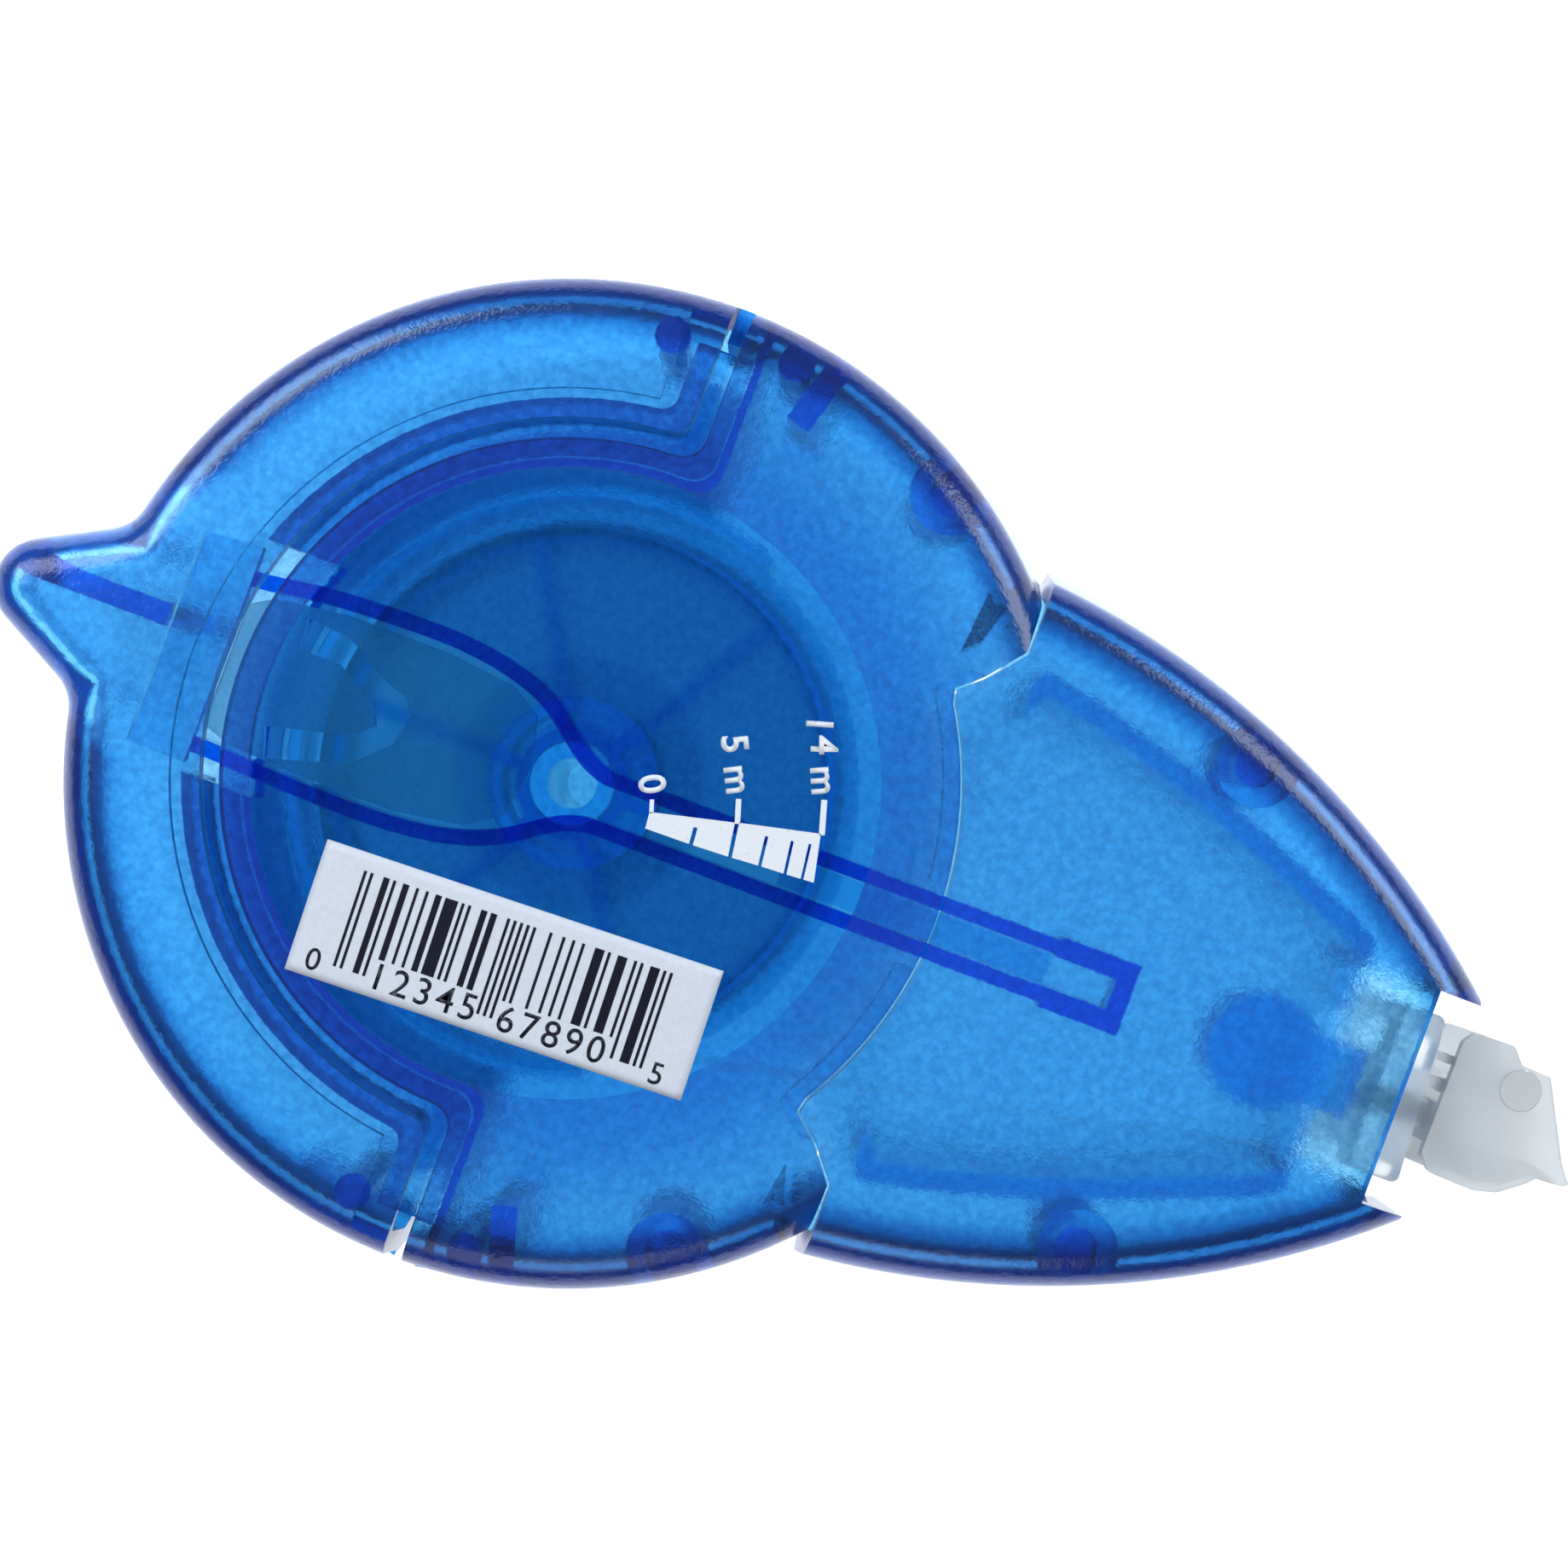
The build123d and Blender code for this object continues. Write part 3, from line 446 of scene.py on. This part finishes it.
# ------------------------------------------------------------------ mesh helpers
def new_piece(name, bm, material, body, *replaced):
    """A finished mesh at the origin that rides on a body."""
    mesh = bpy.data.meshes.new(name)
    bm.to_mesh(mesh)
    bm.free()
    obj = bpy.data.objects.new(name, mesh)
    bpy.context.scene.collection.objects.link(obj)
    mesh.materials.append(material)
    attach(obj, body)
    if replaced:
        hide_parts(*replaced)
    return obj


def dressed(node, material, angle=28.0):
    """A smooth-shaded copy of a part's mesh: doubles merged, edges sharper than `angle` kept."""
    bm = bmesh.new()
    bm.from_mesh(NODES[node].data)
    bmesh.ops.remove_doubles(bm, verts=bm.verts, dist=MERGE)
    limit = math.radians(angle)
    bm.normal_update()
    for vert, inward in [(v, v.normal * -CLEARANCE) for v in bm.verts]:
        vert.co += inward
    for face in bm.faces:
        face.smooth = True
    for edge in bm.edges:
        edge.smooth = edge.is_manifold and edge.calc_face_angle(0.0) < limit
    piece = new_piece(node + "_finished", bm, material, NODES[node]["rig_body"], node)
    return piece


def thicken(bm, faces, thick):
    """Gives flat faces a thickness, upwards."""
    made = bmesh.ops.extrude_face_region(bm, geom=faces)
    top = [v for v in made["geom"] if isinstance(v, bmesh.types.BMVert)]
    bmesh.ops.translate(bm, verts=top, vec=(0, 0, thick))


def flat_shape(bm, points, z, thick):
    """An n-sided plate standing `thick` above z."""
    verts = [bm.verts.new((x, y, z)) for x, y in points]
    face = bm.faces.new(verts)
    if face.calc_area() and face.normal.z < 0:
        face.normal_flip()
    thicken(bm, [face], thick)


def bar(bm, p, q, width, z, thick):
    """A straight bar from p to q."""
    across = Vector((q[1] - p[1], p[0] - q[0])).normalized() * width / 2
    flat_shape(bm, [(p[0] + across.x, p[1] + across.y), (p[0] - across.x, p[1] - across.y),
                    (q[0] - across.x, q[1] - across.y), (q[0] + across.x, q[1] + across.y)], z, thick)


def lettering(bm, text, size, fat, place, turn, z, thick):
    """Generic digits laid flat, centred at place, added to bm."""
    curve = bpy.data.curves.new("digits", "FONT")
    curve.body, curve.size, curve.offset = text, size, fat
    curve.align_x, curve.align_y = "CENTER", "CENTER"
    holder = bpy.data.objects.new("digits", curve)
    bpy.context.scene.collection.objects.link(holder)
    bpy.context.view_layer.update()
    mesh = bpy.data.meshes.new_from_object(holder.evaluated_get(bpy.context.evaluated_depsgraph_get()))
    bpy.data.objects.remove(holder)
    bpy.data.curves.remove(curve)
    part = bmesh.new()
    part.from_mesh(mesh)
    bpy.data.meshes.remove(mesh)
    bmesh.ops.remove_doubles(part, verts=part.verts, dist=MERGE)
    thicken(part, part.faces[:], thick)
    bmesh.ops.recalc_face_normals(part, faces=part.faces)
    spot = Matrix.Translation((place[0], place[1], z)) @ Matrix.Rotation(turn, 4, "Z")
    bmesh.ops.transform(part, matrix=spot, verts=part.verts)
    finished = bpy.data.meshes.new("digits")
    part.to_mesh(finished)
    part.free()
    bm.from_mesh(finished)
    bpy.data.meshes.remove(finished)


def from_reel(x, y):
    """Millimetres from the reel axis to metres in the row frame."""
    return AXIS.x + x * MM, AXIS.y + y * MM


# outlines on the guide tongue, in millimetres from the reel axis
CATCH_EDGE = [
    (-22.1, 3.4), (-20.6, 4.3), (-16.0, 4.9), (-9.5, 4.9), (-5.2, 4.4), (-3.2, 3.2), (-2.4, 0.0),
    (-3.0, -3.2), (-5.0, -4.6), (-9.4, -5.3), (-16.0, -5.3), (-20.4, -5.0), (-22.1, -4.4)]
CATCH_SLOT = [
    (-18.3, 3.9), (-15.4, 3.6), (-12.9, 2.1), (-11.1, 1.4), (-10.4, 0.5), (-10.8, -1.5), (-12.8, -3.5),
    (-17.9, -5.1), (-18.5, -3.2), (-13.3, -1.9), (-12.2, -0.8), (-12.8, 0.5), (-15.6, 1.9), (-18.2, 1.9)]
WEB = [(14.0, 0.58), (31.3, 0.58), (31.3, -1.34), (14.0, -1.34)]


def plate_with_slot():
    """The catch plate: its outline with the U-shaped slot left open."""
    bm = bmesh.new()
    for outline in (CATCH_EDGE, CATCH_SLOT):
        verts = [bm.verts.new((*from_reel(x, y), CATCH_Z)) for x, y in outline]
        for a, b in zip(verts, verts[1:] + verts[:1]):
            bm.edges.new((a, b))
    bmesh.ops.triangle_fill(bm, edges=bm.edges, use_beauty=True)
    thicken(bm, bm.faces[:], PLATE_THICK)
    bmesh.ops.recalc_face_normals(bm, faces=bm.faces)
    return bm


# ------------------------------------------------------------------ operators
class ROLLER_OT_shells(bpy.types.Operator):
    """Finish the clear blue shells and the guide tongue"""
    bl_idname = "roller.shells"
    bl_label = "Shells and tongue"

    def execute(self, context):
        finish = context.scene.roller_finish
        grained = clear_blue("grained_clear_blue", finish, finish.depth, True, 0.16)
        smooth = clear_blue("smooth_clear_blue", finish, finish.depth, False, 0.06)
        for region in ("middle", "nose", "tail"):
            # front shells get painted rim shade; the middle one also painted shade round the window
            shaded = clear_blue(region + "_clear_blue", finish, finish.depth, True, 0.16, region)
            dressed(region + "_front_shell", shaded)
            dressed(region + "_back_shell", grained)
        rails = clear_blue("deep_blue_rails", finish, finish.rail_depth, False, 0.06)
        dressed("guide_tongue", rails)
        dressed("tongue_root", smooth)
        catch = frosted_catch(finish)
        new_piece("catch_plate", plate_with_slot(), catch, "tail")
        bm = bmesh.new()
        flat_shape(bm, [from_reel(x, y) for x, y in WEB], WEB_Z, PLATE_THICK)
        bmesh.ops.recalc_face_normals(bm, faces=bm.faces)
        web = clear_blue("deep_blue_web", finish, finish.depth * 2.7, False, 0.2)
        new_piece("tongue_web", bm, web, "tail")
        return {"FINISHED"}


class ROLLER_OT_reels(bpy.types.Operator):
    """Finish the reels, the wound film and the refill frame"""
    bl_idname = "roller.reels"
    bl_label = "Reels and refill"

    def execute(self, context):
        finish = context.scene.roller_finish
        reel = clear_blue("deep_blue_reel", finish, finish.reel_depth, False, 0.12)
        frame_blue = clear_blue("pale_blue_frame", finish, finish.depth * 0.2, False, 0.22)
        anchor_blue = clear_blue("anchor_blue", finish, finish.depth * 0.8, False, 0.22)
        clear = clear_blue("clear_cap", finish, finish.depth * 0.15, False, 0.05)
        film = coated_film("wound_film", finish, True)
        core = clear_blue("clear_blue_core", finish, finish.reel_depth * 0.22, False, 0.1)
        dressed("supply_reel", core)
        dressed("supply_flange", reel)
        dressed("takeup_reel", core)
        dressed("clutch_ring", reel)
        dressed("refill_frame", frame_blue)
        dressed("anchor_plate", anchor_blue)
        for node in ("spindle", "hub_cap"):
            dressed(node, clear)
        for node in ("supply_tape_roll", "takeup_tape_wrap"):
            dressed(node, film)
        return {"FINISHED"}


class ROLLER_OT_tip(bpy.types.Operator):
    """Finish the neck, the swivelling tip and the running tape"""
    bl_idname = "roller.tip"
    bl_label = "Tip and tape"

    def execute(self, context):
        finish = context.scene.roller_finish
        cloudy = milky("cloudy_tip", finish, 0.36, 0.5)
        neck = milky("cloudy_neck", finish, 0.88, 0.4)
        film = coated_film("running_film", finish, False)
        for node in ("head_front_plate", "head_back_plate", "guide_pin", "head_blade", "swivel_shaft",
                     "neck_arms"):
            dressed(node, cloudy)
        dressed("neck_plate", neck)
        for node in ("tape_feed_run", "tape_return_run", "tape_tip_wrap"):
            dressed(node, film)
        return {"FINISHED"}


class ROLLER_OT_scale(bpy.types.Operator):
    """Print the length scale on the window"""
    bl_idname = "roller.scale"
    bl_label = "Printed scale"

    def execute(self, context):
        sizes = context.scene.roller_print
        z, thick = FACE_Z + PRINT_LIFT, PRINT_THICK
        bm = bmesh.new()
        strips = [
            [(5.34, 0.18), (5.44, -0.84), (8.22, -0.79), (8.13, 0.26), (8.37, 0.30), (8.47, -0.78),
             (10.68, -0.68), (10.36, 1.38)],
            [(10.60, 1.42), (10.92, -0.66), (12.55, -0.55), (12.34, 1.26), (12.53, 1.29), (12.76, -0.53),
             (14.15, -0.46), (13.88, 1.54), (14.06, 1.57), (14.34, -0.45), (15.23, -0.40), (14.95, 1.75),
             (15.12, 1.78), (15.40, -0.39), (16.05, -0.34), (15.42, 2.56), (10.60, 1.46)],
        ]
        for strip in strips:
            flat_shape(bm, [from_reel(x, y) for x, y in strip], z, thick)
        bar(bm, from_reel(5.21, 0.93), from_reel(5.46, 0.15), 0.26 * MM, z, thick)
        bar(bm, from_reel(10.07, 2.79), from_reel(10.52, 1.36), 0.33 * MM, z, thick)
        bar(bm, from_reel(14.90, 4.54), from_reel(15.50, 2.50), 0.36 * MM, z, thick)
        bmesh.ops.recalc_face_normals(bm, faces=bm.faces)
        down = math.radians(-69.5)
        marks = [("1", 12.97, 8.67, -4), ("4", 13.67, 7.57, -1), ("m", 14.41, 5.59, 4),
                 ("5", 8.62, 5.77, 6), ("m", 9.56, 3.83, 7), ("0", 4.82, 1.76, 8)]
        for text, x, y, lean in marks:
            lettering(bm, text, 2.25 * MM, 0.055 * MM, from_reel(x, y), down + math.radians(lean), z, thick)
        material = ink("white_ink", sizes.ink, 0.35, 0.5)
        piece = new_piece("scale_markings", bm, material, "case", "scale_print")
        return {"FINISHED"}


DIGIT_CODES = ("0001101", "0011001", "0010011", "0111101", "0100011",
               "0110001", "0101111", "0111011", "0110111", "0001011")
DIGITS = "012345678905"               # a generic run
MODULE, BARS_LEFT = 0.2058, -9.84     # width of the thinnest bar and left end of the pattern, mm


def bar_pattern(digits):
    """Guard bars and the twelve digits as a row of 1 for ink and 0 for paper."""
    left = "".join(DIGIT_CODES[int(d)] for d in digits[:6])
    right = "".join("10"[int(bit)] for d in digits[6:] for bit in DIGIT_CODES[int(d)])
    return "101" + left + "01010" + right + "101"


class ROLLER_OT_label(bpy.types.Operator):
    """Lay the paper label with its bar pattern on the front"""
    bl_idname = "roller.label"
    bl_label = "Paper label"

    def execute(self, context):
        sizes = context.scene.roller_print
        centre = from_reel(0.49, -11.76)
        spot = Matrix.Translation((*centre, FACE_Z)) @ Matrix.Rotation(sizes.label_turn, 4, "Z")
        half_w, half_h = sizes.label_width / 2, sizes.label_height / 2
        sheet = bmesh.new()
        bmesh.ops.create_grid(sheet, x_segments=48, y_segments=16, size=1.0)
        bmesh.ops.scale(sheet, vec=(half_w, half_h, 1.0), verts=sheet.verts)
        for v in sheet.verts:
            edge = min(half_w - abs(v.co.x), half_h - abs(v.co.y))
            v.co.z = 0.00007 - 0.00002 * math.exp(-edge / 0.0004)
        rim = [e for e in sheet.edges if e.is_boundary]
        skirt = bmesh.ops.extrude_edge_only(sheet, edges=rim)
        for v in skirt["geom"]:
            if isinstance(v, bmesh.types.BMVert):
                v.co.z = 0.00001
        loop = [e for e in sheet.edges if e.is_boundary]
        bmesh.ops.contextual_create(sheet, geom=loop)
        bmesh.ops.recalc_face_normals(sheet, faces=sheet.faces)
        for face in sheet.faces:
            face.smooth = abs(face.normal.z) > 0.9
        bmesh.ops.transform(sheet, matrix=spot, verts=sheet.verts)
        piece = new_piece("label_paper", sheet, paper(sizes.paper), "case", "price_label")
        pattern = bar_pattern(DIGITS)
        bars = bmesh.new()
        start = None
        for n, bit in enumerate(pattern + "0"):
            if bit == "1" and start is None:
                start = n
            if bit == "0" and start is not None:
                guard = n <= 10 or n > 85 or 44 < n < 51
                low, high = -3.0 if guard else -1.78, 3.02
                u0 = BARS_LEFT + start * MODULE + 0.012
                u1 = BARS_LEFT + n * MODULE - 0.012
                corners = [(u0, low), (u1, low), (u1, high), (u0, high)]
                flat_shape(bars, [(u * MM, v * MM) for u, v in corners], BAR_LIFT, BAR_THICK)
                start = None
        bmesh.ops.recalc_face_normals(bars, faces=bars.faces)
        marks = [(DIGITS[0], -11.06, -3.07, 1.9), (DIGITS[11], 10.63, -3.08, 1.9)]
        for first, group in ((-7.03, DIGITS[1:6]), (1.06, DIGITS[6:11])):
            marks += [(d, first + 1.42 * n, -2.86, 2.3) for n, d in enumerate(group)]
        for text, u, v, size in marks:
            lettering(bars, text, size * MM, 0.005 * MM, (u * MM, v * MM), 0.0, BAR_LIFT, BAR_THICK)
        bmesh.ops.transform(bars, matrix=spot, verts=bars.verts)
        piece = new_piece("label_bars", bars, ink("bar_ink", sizes.bars, 0.2, 0.4), "case")
        return {"FINISHED"}


class ROLLER_OT_stage(bpy.types.Operator):
    """Lay the roller on a white light table under soft light, with the camera above"""
    bl_idname = "roller.stage"
    bl_label = "Light table"

    def execute(self, context):
        scene, stage = context.scene, context.scene.roller_stage
        bm = bmesh.new()
        bmesh.ops.create_grid(bm, x_segments=8, y_segments=8, size=3.0)
        bmesh.ops.translate(bm, verts=bm.verts, vec=(0, 0, TABLE_Z))
        mesh = bpy.data.meshes.new("light_table")
        bm.to_mesh(mesh)
        bm.free()
        floor = bpy.data.objects.new("light_table", mesh)
        scene.collection.objects.link(floor)
        book = Book("glowing_table")
        tone = book.ramp(book.noise(40.0, 2.0), (0.0, (0.80, 0.80, 0.80)), (1.0, (0.84, 0.84, 0.84)))
        glow = book.plastic(Base_Color=tone, Roughness=0.9, Emission_Color=rgba(WHITE),
                            Emission_Strength=stage.glow)
        mesh.materials.append(book.finish(glow))

        world = bpy.data.worlds.new("white_room")
        world.use_nodes = True
        tree = world.node_tree
        back = tree.nodes["Background"]
        back.inputs["Color"].default_value = (1, 1, 1, 1)
        rays = tree.nodes.new("ShaderNodeLightPath")
        share = tree.nodes.new("ShaderNodeMapRange")
        share.inputs["To Min"].default_value = stage.sky
        tree.links.new(rays.outputs["Is Camera Ray"], share.inputs["Value"])
        tree.links.new(share.outputs["Result"], back.inputs["Strength"])
        scene.world = world

        for name, place, size, watts in (("left_softbox", (-0.30, 0.12, 0.30), 0.26, 1.35),
                                         ("right_softbox", (0.26, 0.24, 0.30), 0.26, 1.35),
                                         ("low_softbox", (0.06, -0.36, 0.28), 0.26, 0.35)):
            lamp = bpy.data.lights.new(name, "AREA")
            lamp.size, lamp.energy, lamp.color = size, watts, (0.88, 0.95, 1.0)
            holder = bpy.data.objects.new(name, lamp)
            holder.location = place
            aim = Vector((0, 0, 0.01)) - Vector(place)
            holder.rotation_euler = aim.to_track_quat("-Z", "Y").to_euler()
            scene.collection.objects.link(holder)

        eye = bpy.data.cameras.new("camera")
        eye.lens, eye.sensor_width, eye.clip_start = stage.lens, 36.0, 0.005
        camera = bpy.data.objects.new("camera", eye)
        camera.location = (AXIS.x + 12.30 * MM, AXIS.y + 4.58 * MM, stage.camera_height)
        camera.rotation_euler = (0, 0, stage.turn)
        scene.collection.objects.link(camera)
        scene.camera = camera

        scene.view_settings.view_transform = "Standard"
        scene.cycles.max_bounces = 22
        scene.cycles.transmission_bounces = 22
        scene.cycles.glossy_bounces = 8
        scene.cycles.transparent_max_bounces = 16
        return {"FINISHED"}


STEPS = (ROLLER_OT_shells, ROLLER_OT_reels, ROLLER_OT_tip, ROLLER_OT_scale, ROLLER_OT_label,
         ROLLER_OT_stage)


class ROLLER_PT_panel(bpy.types.Panel):
    bl_label = "Correction Tape Roller"
    bl_idname = "ROLLER_PT_panel"
    bl_space_type = "VIEW_3D"
    bl_region_type = "UI"
    bl_category = "Roller"

    def draw(self, context):
        for group in (context.scene.roller_finish, context.scene.roller_print, context.scene.roller_stage):
            box = self.layout.box()
            for key in group.bl_rna.properties.keys():
                if key not in {"rna_type", "name"}:
                    box.prop(group, key)
        for step in STEPS:
            self.layout.operator(step.bl_idname)


CLASSES = (RollerFinish, RollerPrint, RollerStage) + STEPS + (ROLLER_PT_panel,)


def register():
    for cls in CLASSES:
        bpy.utils.register_class(cls)
    bpy.types.Scene.roller_finish = bpy.props.PointerProperty(type=RollerFinish)
    bpy.types.Scene.roller_print = bpy.props.PointerProperty(type=RollerPrint)
    bpy.types.Scene.roller_stage = bpy.props.PointerProperty(type=RollerStage)


def unregister():
    del bpy.types.Scene.roller_stage
    del bpy.types.Scene.roller_print
    del bpy.types.Scene.roller_finish
    for cls in reversed(CLASSES):
        bpy.utils.unregister_class(cls)


def main():
    register()
    bpy.ops.roller.shells()
    bpy.ops.roller.reels()
    bpy.ops.roller.tip()
    bpy.ops.roller.scale()
    bpy.ops.roller.label()
    bpy.ops.roller.stage()


if __name__ == "__main__":
    main()
